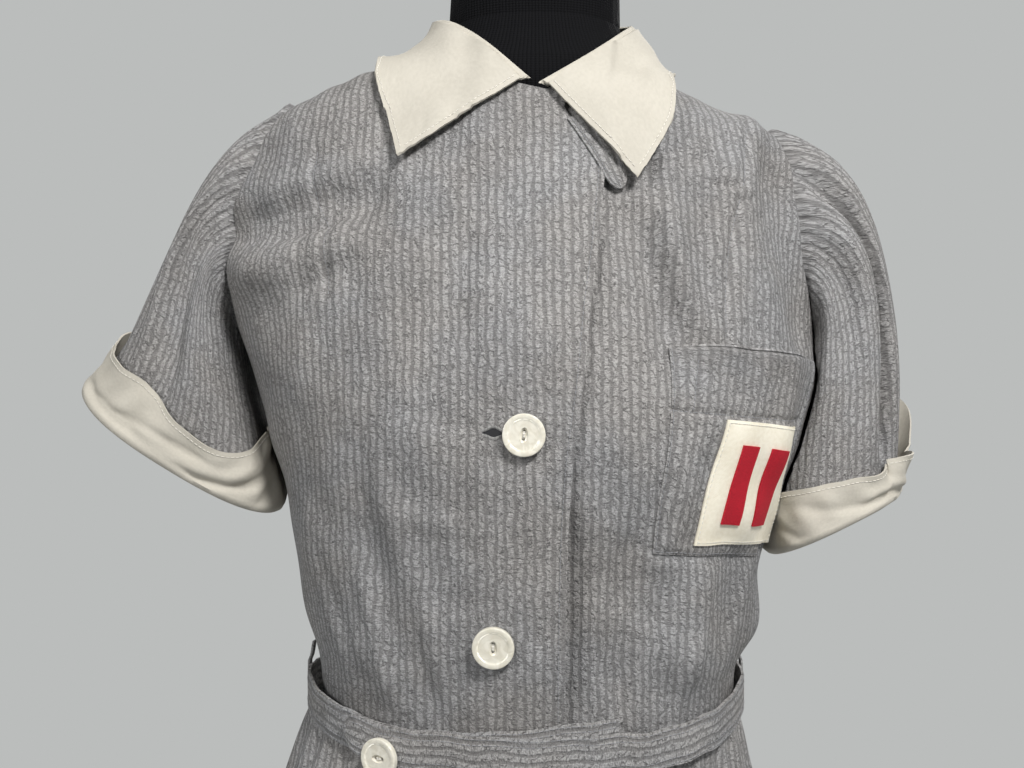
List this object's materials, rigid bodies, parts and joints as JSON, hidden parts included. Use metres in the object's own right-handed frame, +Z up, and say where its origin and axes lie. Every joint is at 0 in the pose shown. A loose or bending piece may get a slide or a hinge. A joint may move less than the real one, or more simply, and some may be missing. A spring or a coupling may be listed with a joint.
{
  "type": "nurse uniform dress on a dress form",
  "caption": "Short-sleeved button-front uniform dress with pointed collar, turned-up cuffs, chest pocket and self belt, on a limbless dress form with pole and round base.",
  "frame": {"origin": "centre of the base's underside, on the floor", "axes": "+Z up, -Y the way the dress faces, +X the wearer's left"},
  "size_m": [0.6129, 0.473, 1.505],
  "materials": {
    "grey_seersucker": "matt puckered cotton",
    "white_cotton": "plain pressed cotton",
    "cream_cotton": "plain cotton twill",
    "red_felt": "wool felt",
    "pearl_button": "glossy with a soft pearl sheen",
    "black_knit": "ribbed knit cover",
    "black_steel": "satin paint"
  },
  "bodies": {
    "root": {"bodice_front_right": "grey_seersucker", "bodice_front_left": "grey_seersucker", "bodice_back": "grey_seersucker", "sleeve_right": "grey_seersucker", "sleeve_left": "grey_seersucker", "cuff_right": "white_cotton", "cuff_left": "white_cotton", "collar": "white_cotton", "collar_tab": "grey_seersucker", "pocket": "grey_seersucker", "patch": "cream_cotton", "patch_bar_1": "red_felt", "patch_bar_2": "red_felt", "belt": "grey_seersucker", "belt_loop_right": "grey_seersucker", "belt_loop_left": "grey_seersucker", "skirt_front_right": "grey_seersucker", "skirt_front_left": "grey_seersucker", "skirt_back": "grey_seersucker", "button_1": "pearl_button", "button_2": "pearl_button", "button_3": "pearl_button", "button_4": "pearl_button", "button_5": "pearl_button", "button_6": "pearl_button", "button_belt": "pearl_button", "form_body": "black_knit", "form_pole": "black_steel", "form_base": "black_steel"}
  },
  "joints": []
}
